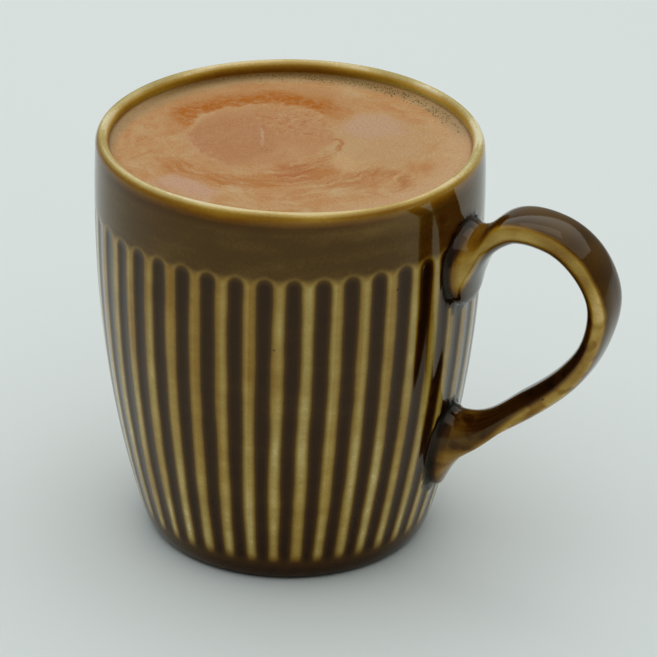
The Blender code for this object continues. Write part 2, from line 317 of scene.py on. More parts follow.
carving, given = new_geometry_tree("flute_carving", carving_values)
place = add_node(carving, "GeometryNodeInputPosition", out=0)
axes = add_node(carving, "SeparateXYZ", links=(place,)).outputs
known = {"x": axes[0], "y": axes[1], "z": axes[2], **{name: given[name] for name in carving_values}}
known["outside"] = add_node(carving, "GeometryNodeInputNamedAttribute", {"data_type": "FLOAT"},
                            {"Name": "outside"}, 0)
add_steps(carving, known, (
    ("x squared", "Math MULTIPLY", "x", "x"),
    ("y squared", "Math MULTIPLY", "y", "y"),
    ("radius squared", "Math ADD", "x squared", "y squared"),
    ("radius", "Math SQRT", "radius squared"),
    # where the ridge behind the handle stands at this height
    ("share", "Math DIVIDE", "z", flute_top),
    ("share left", "Math SUBTRACT", 1.0, "share"),
    ("both shares", "Math MULTIPLY", "share", "share left"),
    ("bow", "Math MULTIPLY", "both shares", 4 * ridge_bow),
    ("lean", "Math MULTIPLY_ADD", "z", ridge_lean, ridge_at_foot),
    ("ridge", "Math ADD", "lean", "bow"),
    # how many pitches past it the point lies: the flute's number, and the place across it
    ("one pitch", "Math DIVIDE", 2 * math.pi, "Flutes"),
    ("angle", "Math ARCTAN2", "y", "x"),
    ("past ridge", "Math SUBTRACT", "angle", "ridge"),
    ("pitches", "Math DIVIDE", "past ridge", "one pitch"),
    ("around", "Math ADD", "pitches", "Flutes"),
    ("whole pitches", "Math FLOOR", "around"),
    ("number", "Math FLOORED_MODULO", "whole pitches", "Flutes"),
    ("part of pitch", "Math FRACT", "around"),
    ("across", "Math SUBTRACT", "part of pitch", 0.5),
    ("pitch length", "Math MULTIPLY", "one pitch", "radius"),
    ("even sideways", "Math MULTIPLY", "across", "pitch length"),
    ("even half width", "Math MULTIPLY", "pitch length", "Half share"),
    ("tip wander", "Math MULTIPLY", "Wander", 2.5)))
# The carver's hand: a noise that drifts down each flute and jumps from one to the next.
for name, offset, per_metre in (
        ("side hand", 0.4, 45.0), ("width hand", 31.7, 60.0), ("tip hand", 57.1, 0.0)):
    add_steps(carving, known, (
        ("hand's flute", "Math MULTIPLY_ADD", "number", 7.31, offset),
        ("hand's height", "Math MULTIPLY", "z", per_metre),
        ("hand's place", "CombineXYZ", "hand's flute", "hand's height", 0.0),
        ("hand's drift", "TexNoise", "hand's place", 0.0, 1.0, 2.0),
        (name, "Math MULTIPLY_ADD", "hand's drift", 4.0, -2.0)))
add_steps(carving, known, (
    ("sideways", "Math MULTIPLY_ADD", "side hand", "Wander", "even sideways"),
    ("half width", "Math MULTIPLY_ADD", "width hand", "Wander", "even half width"),
    ("tip", "Math MULTIPLY_ADD", "tip hand", "tip wander", "Top"),
    # the distance from the flute's middle line, or near its tip from the round end's centre
    ("end centre", "Math SUBTRACT", "tip", "half width"),
    ("over centre", "Math SUBTRACT", "z", "end centre"),
    ("above", "Math MAXIMUM", "over centre", 0.0),
    ("sideways squared", "Math MULTIPLY", "sideways", "sideways"),
    ("above squared", "Math MULTIPLY", "above", "above"),
    ("reach squared", "Math ADD", "sideways squared", "above squared"),
    ("reach", "Math SQRT", "reach squared"),
    ("within", "Math SUBTRACT", "half width", "reach"),
    ("within in mm", "Math DIVIDE", "within", MM),
    # the cut, deepest near the middle, run out above the heel and kept out of the band
    ("edge's start", "Math MULTIPLY", "Edge", -1.0),
    ("edge's end", "Math MULTIPLY", "half width", 0.95),
    ("hollow", "Ease", "within", "edge's start", "edge's end"),
    ("over foot", "Math SUBTRACT", "z", "Foot"),
    ("foot share", "Math DIVIDE", "over foot", "Run in"),
    ("run out", "Ease", "foot share"),
    ("highest", "Math ADD", "Top", 2.0 * MM),
    ("below tip", "Math LESS_THAN", "z", "highest"),
    ("faded", "Math MULTIPLY", "hollow", "run out"),
    ("depth", "Math MULTIPLY", "faded", "Depth"),
    ("depth below tip", "Math MULTIPLY", "depth", "below tip"),
    ("cut", "Math MULTIPLY", "depth below tip", "outside"),
    ("cut share", "Math DIVIDE", "cut", "radius"),
    ("shrink", "Math SUBTRACT", 1.0, "cut share"),
    ("cut x", "Math MULTIPLY", "x", "shrink"),
    ("cut y", "Math MULTIPLY", "y", "shrink"),
    ("carved", "CombineXYZ", "cut x", "cut y", "z")))
clay = given["Geometry"]
for name, value in (("groove", known["within in mm"]), ("flute", known["number"])):
    clay = add_node(carving, "GeometryNodeStoreNamedAttribute", {"data_type": "FLOAT", "domain": "POINT"},
                    {"Geometry": clay, "Name": name, "Value": value}, 0)
clay = add_node(carving, "GeometryNodeSetPosition", None, {"Geometry": clay, "Position": known["carved"]}, 0)
add_node(carving, "NodeGroupOutput", links=(clay,))

outside_mark = mug.data.attributes.new("outside", "FLOAT", "POINT")
first_wall = len(base_rings) * len(half_columns)
marks = np.zeros(len(mug.data.vertices))
marks[first_wall:first_wall + len(wall_rings) * len(columns)] = 1.0
outside_mark.data.foreach_set("value", marks)


def settle(piece):
    """Turns an object's modifiers into its plain mesh."""
    graph = bpy.context.evaluated_depsgraph_get()
    result = bpy.data.meshes.new_from_object(piece.evaluated_get(graph))
    piece.modifiers.clear()
    piece.data = result


def run_tree(piece, tree, values):
    """Runs an object through a Geometry Nodes tree, and keeps the outcome as its plain mesh."""
    modifier = piece.modifiers.new(tree.name, "NODES")
    modifier.node_group = tree
    for item in tree.interface.items_tree:
        if item.name in values:
            modifier[item.identifier] = values[item.name]
    settle(piece)


run_tree(mug, carving, carving_values)

# ---------------------------------------------------------------- mug, handle
# A strap of pulled clay, flat outside and round inside, bent into a loop and pressed on to
# the leather-hard body at both ends, where its edges stand a little proud of the wall.
# stations of its middle line: reach from the axis, height, thickness, width, in millimetres
handle_stations = [Vector(station) * MM for station in (
    (44.0, 74.9, 5.4, 12.9), (52.4, 83.6, 6.3, 12.4), (63.0, 83.9, 7.3, 11.2),
    (70.9, 78.9, 7.5, 10.9), (75.03, 70.1, 6.2, 10.7), (73.45, 59.7, 5.1, 10.4),
    (68.15, 50.3, 5.6, 10.2), (58.8, 41.35, 5.9, 10.5), (47.45, 33.35, 6.4, 10.9))]
outer_face_share = 0.32
corner_power = 0.8
root_sink = 1.9 * MM
root_pull = 1.15
upper_root = {"outer": 81.8 * MM, "inner": 62.8 * MM, "half_width": 9.1 * MM, "lopsided": 0.0,
              "edge": 2.1 * MM, "draw_in": 0.07, "outer_lift": 0.9, "inner_lift": 0.12}
lower_root = {"outer": 16.8 * MM, "inner": 37.0 * MM, "half_width": 6.5 * MM, "lopsided": 0.12,
              "edge": 2.1 * MM, "draw_in": 0.07, "outer_lift": 0.30, "inner_lift": 0.95}
handle_sides = 56
rings_per_station = 14
root_ring_count = 16
side_turns = [2 * math.pi * side / handle_sides for side in range(handle_sides)]


def spline(values, place):
    """Catmull-Rom value of a list of vectors at a place from 0 to len(values) - 1."""
    last = len(values) - 1
    index = min(int(place), last - 1)
    t = place - index
    before = values[index - 1] if index else 2 * values[0] - values[1]
    after = values[index + 2] if index + 2 <= last else 2 * values[last] - values[last - 1]
    a, b = values[index], values[index + 1]
    return 0.5 * (2 * a + (b - before) * t + (2 * before - 5 * a + 4 * b - after) * t ** 2
                  + (3 * a - before - 3 * b + after) * t ** 3)


def handle_section(place):
    """The section's points at a place along the stations, and the middle line's direction."""
    x, z, thickness, width = spline(handle_stations, place)
    front = spline(handle_stations, min(place + 0.01, len(handle_stations) - 1))
    back = spline(handle_stations, max(place - 0.01, 0.0))
    along = Vector((front[0] - back[0], 0.0, front[1] - back[1])).normalized()
    outward = Vector((-along.z, 0.0, along.x))
    points = []
    for turn in side_turns:
        across, out = math.cos(turn), math.sin(turn)
        sideways = math.copysign(abs(across) ** corner_power, across) * width / 2
        if out > 0:
            lift = out ** corner_power * outer_face_share * thickness
        else:
            lift = out * (1 - outer_face_share) * thickness
        points.append(Vector((x, sideways, z)) + outward * lift)
    return points, along


def root_outline(root, lift, scale=1.0):
    """The root's edge as points above the wall's surface, or below it for a negative lift."""
    middle = 0.5 * (root["outer"] + root["inner"])
    half = 0.5 * (root["outer"] - root["inner"]) * scale
    points = []
    for turn in side_turns:
        z = middle + half * math.sin(turn)
        y = root["half_width"] * scale * math.cos(turn) * (1 - root["lopsided"] * math.sin(turn))
        radius = float(wall_radius(z)) + lift
        points.append(Vector((math.sqrt(radius ** 2 - y ** 2), y, z)))
    return points


def root_rings(root, place, inwards):
    """Rings from the root's sunk end, over its pressed edge, to the section at a place."""
    edge = root_outline(root, root["edge"], 1 - root["draw_in"])
    section, along = handle_section(place)
    leaving = along * inwards
    centre = sum(edge, Vector()) / len(edge)
    rings = [root_outline(root, -root_sink), root_outline(root, -0.5 * root_sink)]
    for lift in (0.0, 0.35, 0.7):
        rings.append(root_outline(root, lift * root["edge"], 1 - root["draw_in"] * lift ** 3))
    for ring in range(root_ring_count):
        t = ring / root_ring_count
        points = []
        for turn, start, end in zip(side_turns, edge, section):
            outer = 0.5 + 0.5 * math.sin(turn)
            lift = outer * root["outer_lift"] + (1 - outer) * root["inner_lift"]
            up_the_wall = Vector((0.0, centre.y - start.y, centre.z - start.z)).normalized()
            off_the_wall = Vector((start.x, start.y, 0.0)).normalized()
            pull = (end - start).length * root_pull
            away = (off_the_wall * lift + up_the_wall * (1 - lift)).normalized() * pull
            points.append((2 * t ** 3 - 3 * t ** 2 + 1) * start + (t ** 3 - 2 * t ** 2 + t) * away
                          + (3 * t ** 2 - 2 * t ** 3) * end + (t ** 3 - t ** 2) * leaving * pull)
        rings.append(points)
    return rings


last_station = len(handle_stations) - 1
rings = root_rings(upper_root, 1, 1)
free_rings = (last_station - 2) * rings_per_station
rings += [handle_section(1 + (last_station - 2) * ring / free_rings)[0] for ring in range(free_rings + 1)]
rings += reversed(root_rings(lower_root, last_station - 1, -1))
mesh = bmesh.new()
round_mark = mesh.verts.layers.float.new("round")       # the section's turn, 90 on the outer face
along_mark = mesh.verts.layers.float.new("along")       # 0 at the upper root, 1 at the lower
loops = []
for index, ring in enumerate(rings):
    loop = [mesh.verts.new(point) for point in ring]
    for vertex, turn in zip(loop, side_turns):
        vertex[round_mark] = math.sin(turn)
        vertex[along_mark] = index / (len(rings) - 1)
    loops.append(loop)
for lower, upper in zip(loops, loops[1:]):
    join_rings(mesh, lower, upper)
mesh.faces.new(list(reversed(loops[0])))
mesh.faces.new(loops[-1])
handle = make_piece("mug_handle", mesh)

# The strap is luted on: the two become one clay body, and the seam is wiped to a small fillet.
strap_points = KDTree(len(handle.data.vertices))
for vertex in handle.data.vertices:
    strap_points.insert(vertex.co, vertex.index)
strap_points.balance()
strap_round = [item.value for item in handle.data.attributes["round"].data]
strap_along = [item.value for item in handle.data.attributes["along"].data]
for piece, name in ((mug, "body_clay"), (handle, "strap_clay")):
    piece.data.materials.append(bpy.data.materials.new(name))
union = mug.modifiers.new("union", "BOOLEAN")
union.operation = "UNION"
union.solver = "EXACT"
union.material_mode = "TRANSFER"
union.object = handle
settle(mug)
bpy.data.objects.remove(handle)


def read_floats(items, name, width=1):
    """A value of every item of a mesh as one array."""
    values = np.zeros(len(items) * width)
    items.foreach_get(name, values)
    return values.reshape(-1, width) if width > 1 else values


def smooth_step(low, high, value):
    """0 below one edge, 1 above the other, eased between; the edges may be in either order."""
    t = np.clip((np.asarray(value) - low) / (high - low), 0.0, 1.0)
    return t * t * (3 - 2 * t)


body = mug.data
material_of = read_floats(body.polygons, "material_index").astype(int)
corner_vertex = read_floats(body.loops, "vertex_index").astype(int)
corner_count = read_floats(body.polygons, "loop_total").astype(int)
on_strap = np.zeros(len(body.vertices), bool)
on_body = np.zeros(len(body.vertices), bool)
corner_material = np.repeat(material_of, corner_count)
on_strap[corner_vertex[corner_material == 1]] = True
on_body[corner_vertex[corner_material == 0]] = True
points = read_floats(body.vertices, "co", 3)
seam = np.flatnonzero(on_strap & on_body)
seam_points = KDTree(len(seam))
for index in seam:
    seam_points.insert(points[index], int(index))
seam_points.balance()
root_zone_reach, root_zone_half_width = 30 * MM, 14 * MM
to_seam = np.full(len(points), 1.0)
beside_handle = (points[:, 0] > root_zone_reach) & (np.abs(points[:, 1]) < root_zone_half_width)
near_root = beside_handle & (np.hypot(points[:, 0], points[:, 1]) > root_zone_reach)
for index in np.flatnonzero(near_root):
    to_seam[index] = seam_points.find(points[index])[2]

edges = read_floats(body.edges, "vertices", 2).astype(int)
wipe_reach, fully_wiped, wipes = 1.5 * MM, 0.3 * MM, 14
wiped = smooth_step(wipe_reach, fully_wiped, to_seam)
touched = np.flatnonzero(wiped > 0)
local = edges[(wiped[edges] > 0).any(axis=1)]
for _ in range(wipes):
    total = np.zeros_like(points)
    count = np.zeros(len(points))
    for a, b in ((0, 1), (1, 0)):
        np.add.at(total, local[:, a], points[local[:, b]])
        np.add.at(count, local[:, a], 1)
    middle = total[touched] / count[touched, None]
    points[touched] += 0.5 * wiped[touched, None] * (middle - points[touched])


def towards(places, degrees, spread):
    """1 for points in one direction from the axis, falling to 0 aside; 0 degrees is the viewer's right."""
    off = np.arctan2(places[:, 1], places[:, 0]) - view_turn - math.radians(degrees)
    off = (off + math.pi) % (2 * math.pi) - math.pi
    return np.exp(-(off / math.radians(spread)) ** 2)


# ---------------------------------------------------------------- mug, lip and glaze
# The lip dried a little out of true: thinner beyond the handle, and pulled outwards and down
# before it. Fired once, the mug was dipped in one amber glaze, all but its underside.
reach = np.hypot(points[:, 0], points[:, 1])
on_outer_side = smooth_step(lip_radius - 2 * lip_half_width, lip_radius - 0.3 * MM, reach)
lip_share = np.where(reach > lip_radius - lip_half_width, smooth_step(89.5 * MM, 92.2 * MM, points[:, 2]),
                     smooth_step(91 * MM, 92.4 * MM, points[:, 2]))
bent = 0.70 * MM * towards(points, 305, 24) - 0.40 * MM * towards(points, 248, 20)
pared = 0.5 * MM * towards(points, 28, 26) * smooth_step(88 * MM, 92 * MM, points[:, 2]) * on_outer_side
points[:, :2] *= (1 + (bent * lip_share - pared) / np.maximum(reach, MM))[:, None]
points[:, 2] -= 0.32 * MM * towards(points, 305, 26) * smooth_step(90 * MM, 93 * MM, points[:, 2])
body.vertices.foreach_set("co", points.ravel())


def noise_over(places, size):
    """Noise from -1 to 1 at each place, that varies over about this length."""
    return np.array([noise_at(Vector(place) / size) for place in places])


# Glaze runs off edges and gathers in hollows. Its depth, 0 on a bare edge and 1 in a flute,
# is kept for every point; the glaze takes its colour from it.
x, y, z = points.T / MM
radius = np.hypot(x, y)
groove = read_floats(body.attributes["groove"].data, "value")
in_band = smooth_step(76.2, 78.9, z)
paler = 0.06 * smooth_step(52.0, 30.0, z)
ridge_depth, band_depth, foot_depth = 0.12, 0.60, 0.92
depth = ridge_depth - paler + (band_depth - ridge_depth) * in_band
halo = np.exp(-((groove + 0.35) / 0.50) ** 2) * in_band
depth -= (0.13 + 0.10 * smooth_step(78.6, 77.2, z)) * halo
depth -= 0.10 * towards(points, 300, 22) * smooth_step(85.0, 89.0, z)
depth += (1.0 - depth) * smooth_step(-0.62, 1.35, groove) * smooth_step(3.4, 7.0, z)
depth += (foot_depth - depth) * smooth_step(8.4, 3.2, z)
# It drew thin over the lip, thinnest on the crown and to the right. The inner crown a little round from the
# viewer's right is paler still: a painted highlight.
outer_lip = np.interp(z, (89.3, 90.2, 90.8, 91.3, 91.8, 92.2, 92.6, 93.15),
                      (0.64, 0.68, 0.54, 0.42, 0.34, 0.32, 0.22, 0.04))
inner_lip = np.interp(z, (91.2, 91.8, 92.2, 92.65, 93.0, 93.15), (0.36, 0.32, 0.25, 0.13, 0.06, 0.04))
to_right = np.cos(np.arctan2(y, x) - view_turn - math.radians(12))
thin_glaze = (0.32 * smooth_step(0.2, 0.95, to_right) + 0.15 * smooth_step(-0.3, -0.9, to_right)
              + 0.18 * towards(points, 136, 16) - 0.18 * towards(points, 325, 17))
inner_lip = np.maximum(inner_lip - thin_glaze * smooth_step(93.15, 92.6, z), 0.0)
outer_lip -= 0.10 * towards(points, 308, 30)
outer_lip -= 0.16 * towards(points, 314, 22) * smooth_step(92.0, 91.0, z)
outer_lip -= 0.35 * smooth_step(0.55, 1.0, to_right) * smooth_step(91.0, 92.2, z)
outer_lip = np.maximum(outer_lip, -0.03)
on_lip = z > 89.2
crown_radius = (lip_radius - lip_half_width) / MM
depth[on_lip] = np.where(radius > crown_radius, outer_lip, inner_lip)[on_lip]
# Painted highlight: the inner side of the crown, a little round from the viewer's right, is made paler below.
crown = smooth_step(92.0, 92.8, z) * smooth_step(crown_radius + 0.9, crown_radius - 0.1, radius)
thicker = (towards(points, 14, 8) + 0.8 * towards(points, 53, 9)) * smooth_step(91.0, 92.0, z)
depth[on_lip] += (0.065 * thicker - 0.09 * towards(points, -6, 15) * crown)[on_lip]
uneven = noise_over(points[on_lip], 16 * MM)
depth[on_lip] += 0.16 * uneven * smooth_step(90.6, 91.6, z[on_lip])
inner_wall = (radius < wall_radius(z * MM) / MM - 2.0) & (z < 91.4) & (z > 2.0)
depth[inner_wall] = 0.34 - 0.8 * thin_glaze[inner_wall]
# On the strap it is thin along both edges, and browner on the outer and the inner face.
strap_only = on_strap & ~on_body
rounds, alongs = np.zeros(len(points)), np.zeros(len(points))
for index in np.flatnonzero(on_strap):
    nearest = strap_points.find(points[index])[1]
    rounds[index], alongs[index] = strap_round[nearest], strap_along[nearest]
lower_arm = smooth_step(0.42, 0.62, alongs)
under_root = smooth_step(0.72, 0.86, alongs)
outer_bend = smooth_step(0.16, 0.30, alongs) * smooth_step(0.56, 0.42, alongs)
outer_edge = 0.35 + 0.25 * lower_arm - 0.25 * outer_bend
browned = (0.60 - 0.4 * under_root) * (0.25 + 0.75 * smooth_step(0.06, 0.20, alongs))
at_lower_root = smooth_step(0.80, 0.90, alongs)
inner_edge = -0.35 + 0.22 * lower_arm + 0.14 * at_lower_root
browned *= smooth_step(outer_edge, outer_edge + 0.45 - 0.1 * lower_arm, rounds)
inner_brown = ((0.78 - 0.36 * at_lower_root)
               * smooth_step(inner_edge, inner_edge - 0.50 + 0.13 * lower_arm, rounds))
depth[strap_only] = (0.14 + browned + inner_brown)[strap_only]
depth += 0.30 * smooth_step(3.6, 0.8, to_seam / MM) * on_strap
# It pooled in the seam round each root.
upper_outside = smooth_step(0.10, 0.05, alongs) * smooth_step(0.1, 0.6, rounds) * on_strap
pool_width = 1.5 + 1.2 * upper_outside + 1.1 * at_lower_root * on_strap
pooled = smooth_step(pool_width, 0.35 * pool_width, to_seam / MM)
thick = noise_over(points[pooled > 0], 3 * MM)
depth[pooled > 0] += ((1.18 + 0.35 * thick) - depth[pooled > 0]) * pooled[pooled > 0]
# Where it ran thick over pale clay it is honey rather than straw: on the lip, along the strap
# and down the middle of the broader ridges.
flute_number = read_floats(body.attributes["flute"].data, "value")
runs = noise_over(points * (1.0, 1.0, 0.35), 9 * MM)
higher_up = smooth_step(28.0, 62.0, z)
ridge_warmth = 0.24 + 0.34 * towards(points, 248, 26) * higher_up
ridge_warmth += (0.10 + 0.16 * higher_up) * np.sin(flute_number * 2.4 + 0.9) + 0.8 * runs
ridge_warmth = np.clip(ridge_warmth, 0.0, 1.0)
on_ridge = smooth_step(0.30, -0.55, groove) * (1 - in_band) * ~on_strap
honey = 0.12 + 0.75 * ridge_warmth * on_ridge
depth += 0.12 * ridge_warmth * on_ridge
honey[in_band > 0.5] = 0.15
honey[on_lip] = (np.interp(z, (89.3, 91.0, 92.4, 93.15), (0.4, 1.0, 0.9, 0.45))
                 - 2.0 * thin_glaze * smooth_step(92.0, 92.9, z))[on_lip]
honey[inner_wall] = 0.75 - 0.45 * smooth_step(0.2, 0.9, to_right)[inner_wall]
honey[on_strap] = 0.7 - 0.5 * smooth_step(0.35, 0.7, depth[on_strap])
rough_hand = noise_over(points[on_strap], 6 * MM)
blots = noise_over(points[on_strap] + (0.0, 19.8 * MM, 0.0), 2.2 * MM)
depth[on_strap] += ((0.22 * rough_hand + 0.18 * smooth_step(0.12, 0.45, blots) * lower_arm[on_strap])
                    * (1 - pooled[on_strap]))
for name, values in (("glaze_depth", depth), ("honey", honey)):
    body.attributes.new(name, "FLOAT", "POINT").data.foreach_set("value", values)

# Fired glossy glaze: where it ran thin the pale clay shows through it as straw or honey, and
# where it gathered the eye meets a deep brown. A little grain keeps it from looking printed.
glaze, tree, surface = new_material("amber_brown_glaze")
speck_cell = add_node(tree, "TexVoronoi", links={"Vector": surface, "Scale": 0.11 / MM})
known = {
    "surface": surface,
    "drift": add_node(tree, "Mapping", None, {"Vector": surface, "Scale": (0.45, 0.45, 1.3)}, 0),
    "gathered": add_node(tree, "Attribute", {"attribute_name": "glaze_depth"}, None, "Fac"),
    "speck distance": speck_cell.outputs["Distance"],
    "speck colour": speck_cell.outputs["Color"]}
add_steps(tree, known, (
    # a noise's inputs: place, fourth dimension, repeats in a millimetre, detail, roughness
    ("cloud", "TexNoise", "drift", 0.0, 0.16 / MM, 4.0, 0.55),
    ("grain", "TexNoise", "surface", 0.0, 1.6 / MM, 3.0, 0.6),
    ("ripple", "TexNoise", "surface", 0.0, 0.9 / MM, 4.0, 0.6),
    ("cloud balanced", "Math SUBTRACT", "cloud", 0.5),
    ("grain balanced", "Math SUBTRACT", "grain", 0.5),
    ("clouded", "Math MULTIPLY_ADD", "cloud balanced", 0.22, "gathered"),
    ("grained", "Math MULTIPLY_ADD", "grain balanced", 0.11, "clouded"),
    ("thickness", "Math DIVIDE", "grained", 1.5),
    ("roughness", "Ease", "thickness", 0.68, 0.84, 0.08, 0.34),
    # pinholes and iron specks, one in a few square centimetres
    ("speck core", "Ease", "speck distance", 0.045, 0.02),
    ("speck lot", "SeparateColor", "speck colour"),
    ("speck kept", "Math GREATER_THAN", "speck lot", 0.72),
    ("speck", "Math MULTIPLY", "speck core", "speck kept"),
    ("speck strength", "Math MULTIPLY", "speck", 0.75)))
straw = add_node(tree, "ValToRGB", {"stops": (
    (0.0, "eadcb2"), (0.03, "c8b47a"), (0.08, "b09c5e"), (0.17, "9a7e42"), (0.40, "573f15"),
    (0.67, "38220a"), (0.90, "1c1d1a"))}, (known["thickness"],), 0)
amber = add_node(tree, "ValToRGB", {"stops": (
    (0.0, "cfa652"), (0.08, "b08a38"), (0.14, "9a7028"), (0.22, "845b19"), (0.32, "6a420f"),
    (0.42, "52320b"), (0.67, "382109"), (0.90, "1c1d1a"))}, (known["thickness"],), 0)
warmth = add_node(tree, "Attribute", {"attribute_name": "honey"}, None, "Fac")
colour = add_node(tree, "Mix", {"data_type": "RGBA"}, {"Factor": warmth, 6: straw, 7: amber}, 2)
colour = add_node(tree, "Mix", {"data_type": "RGBA"}, {
    "Factor": known["speck strength"], 6: colour, 7: linear("2a1d0c")}, 2)
bump = add_node(tree, "Bump", None, {
    "Strength": 0.08, "Distance": 0.05 * MM, "Height": known["ripple"]}, 0)
shader = add_node(tree, "BsdfPrincipled", None, {
    "Base Color": colour, "Roughness": known["roughness"], "IOR": 1.52, "Specular Tint": linear("fdf8f0"),
    "Normal": bump}, 0)
add_node(tree, "OutputMaterial", links={"Surface": shader})

# Bare fired clay under the foot: dry, sandy and without any gloss.
biscuit, tree, surface = new_material("bare_biscuit_foot")
sand = add_node(tree, "TexNoise", None, {
    "Vector": surface, "Scale": 1.2 / MM, "Detail": 4.0, "Roughness": 0.7}, "Fac")
colour = add_node(tree, "ValToRGB", {"stops": ((0.3, "8f7558"), (0.7, "b79d7c"))}, (sand,), 0)
bump = add_node(tree, "Bump", None, {"Strength": 0.4, "Distance": 0.1 * MM, "Height": sand}, 0)
shader = add_node(tree, "BsdfPrincipled", None, {
    "Base Color": colour, "Roughness": 0.8, "IOR": 1.5, "Normal": bump}, 0)
add_node(tree, "OutputMaterial", links={"Surface": shader})

body.materials.clear()
body.materials.append(glaze)
body.materials.append(biscuit)
centres = read_floats(body.polygons, "center", 3)
underneath = centres[:, 2] < 0.001 * MM
body.polygons.foreach_set("material_index", underneath.astype(int))
body.polygons.foreach_set("use_smooth", ~underneath)
body.update()
mug.name = "mug_body"
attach(mug, "root")
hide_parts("mug")

# ---------------------------------------------------------------- caffe mocha
# Espresso, chocolate and steamed milk, poured in to within a hair of the rim. A thin crema
# of fine foam lies on it, stirred round once, and it wets its way up the glazed wall.
drink_level = 90.4 * MM
meniscus_rise, meniscus_width = 0.35 * MM, 1.6 * MM
into_wall = 0.1 * MM                    # so that no gap shows between drink and glaze
climb_power = 2.2
flat_rings, rising_rings = 52, 8
edge_radius = float(inner_radius(drink_level + meniscus_rise)) + into_wall
drink_columns = [a + float(ridge_turn(flute_top)) for a in half_columns]
flat_radii = np.linspace(0.6 * MM, edge_radius - meniscus_width, flat_rings)
rim_radii = np.linspace(edge_radius - meniscus_width, edge_radius, rising_rings + 1)[1:]
mesh = bmesh.new()
loops = []
for ring_radius in np.concatenate([flat_radii, rim_radii]):
    climb = max(0.0, (ring_radius - edge_radius + meniscus_width) / meniscus_width)
    height = drink_level + meniscus_rise * climb ** climb_power
    loops.append(turned_ring(mesh, float(ring_radius), float(height), drink_columns))
for ring_radius, height in well_profile(drink_level, 6, 6, -into_wall)[1:]:
    loops.append(turned_ring(mesh, ring_radius, max(height, floor_height), drink_columns))
for upper, lower in zip(loops, loops[1:]):
    join_rings(mesh, lower, upper)
for loop, order in ((loops[0], 1), (loops[-1], -1)):
    ring_middle = mesh.verts.new((0.0, 0.0, loop[0].co.z))
    for a, b in zip(loop, loop[1:] + loop[:1]):
        mesh.faces.new((ring_middle, a, b)[::order])
mocha = make_piece("mocha_drink", mesh)
mocha.data.polygons.foreach_set("use_smooth", np.ones(len(mocha.data.polygons), bool))

# The swirl is laid out as it lies before the drinker: across to the right, and away.
drink_points = read_floats(mocha.data.vertices, "co", 3)
across, away, _ = (drink_points @ np.array(aim.to_3x3())).T / MM
on_top = drink_points[:, 2] > drink_level - 0.5 * MM
reach = np.hypot(across, away)
# Coarse foam lies against the wall at the back and, in a narrower band, at the back right.
middles = [across * math.cos(math.radians(turn)) + away * math.sin(math.radians(turn)) for turn in (45, 100)]
to_right_back, to_back = np.array(middles) / np.maximum(reach, 1)
foam_width = 2.0 + 4.8 * np.maximum(smooth_step(0.0, 0.9, to_back),
                                    0.7 * smooth_step(0.2, 0.9, to_right_back))
rim_foam = np.clip((reach - edge_radius / MM + foam_width) / foam_width, 0.0, 1.0)
rim_foam *= smooth_step(-0.25, 0.25, to_back)
# Painted shade: the back wall's shade on the foam beside it, strongest straight behind.
rim_shade = smooth_step(0.55, 1.0, to_back)
# The bubbles keep to one band just inside it, in clumps.
clumps = noise_over(drink_points, 3.5 * MM)
bubbly = (smooth_step(34.3, 36.3, reach) * smooth_step(38.7, 37.6, reach)
          * (0.3 + 0.5 * smooth_step(-0.30, 0.25, clumps)) * on_top
          * smooth_step(0.25, 0.75, towards(drink_points, 58, 46)))
for name, values in (("rim_foam", rim_foam), ("rim_shade", rim_shade), ("bubbly", bubbly)):
    mocha.data.attributes.new(name, "FLOAT", "POINT").data.foreach_set("value", values)

# Wet milk foam: a soft sheen, not a gloss, over a fine froth, in milky browns that run into
# one another; cocoa darkens it where the spoon went round, and plain milk pales it.
crema, tree, surface = new_material("mocha_crema")
# the patterns lie in millimetres, so a noise's scale is its repeats in a millimetre
turned = add_node(tree, "Mapping", {"vector_type": "POINT"}, {
    "Vector": surface, "Rotation": (0.0, 0.0, -view_turn), "Scale": (1 / MM, 1 / MM, 1 / MM)}, 0)
flat = add_node(tree, "VectorMath", {"operation": "MULTIPLY"}, (turned, (1.0, 1.0, 0.0)), 0)


def wander(place, per_mm, strength):
    """The pattern's coordinates pushed about by a noise."""
    push = add_node(tree, "TexNoise", None, {
        "Vector": place, "Scale": per_mm, "Detail": 3.0, "Roughness": 0.55}, "Color")
    return add_steps(tree, {"place": place, "push": push}, (
        ("balanced", "VectorMath SUBTRACT", "push", (0.5, 0.5, 0.5)),
        ("in mm", "VectorMath MULTIPLY", "balanced", (strength, strength, 0.0)),
        ("moved", "VectorMath ADD", "place", "in mm")))["moved"]


known = {"flat": flat, "smooth fold": wander(flat, 0.09, 4.0),
         "folded": wander(wander(wander(flat, 0.09, 6.0), 0.35, 2.6), 1.3, 1.1)}


def spot(centre, radii, softness):
    """A mask that is 1 inside an ellipse and eases to 0 outside it."""
    return add_steps(tree, dict(known), (
        ("off", "VectorMath SUBTRACT", "folded", (*centre, 0.0)),
        ("shaped", "VectorMath DIVIDE", "off", (*radii, 1.0)),
        ("length", "VectorMath LENGTH", "shaped"),
        ("mask", "Ease", "length", 1 + softness, 1 - softness)))["mask"]


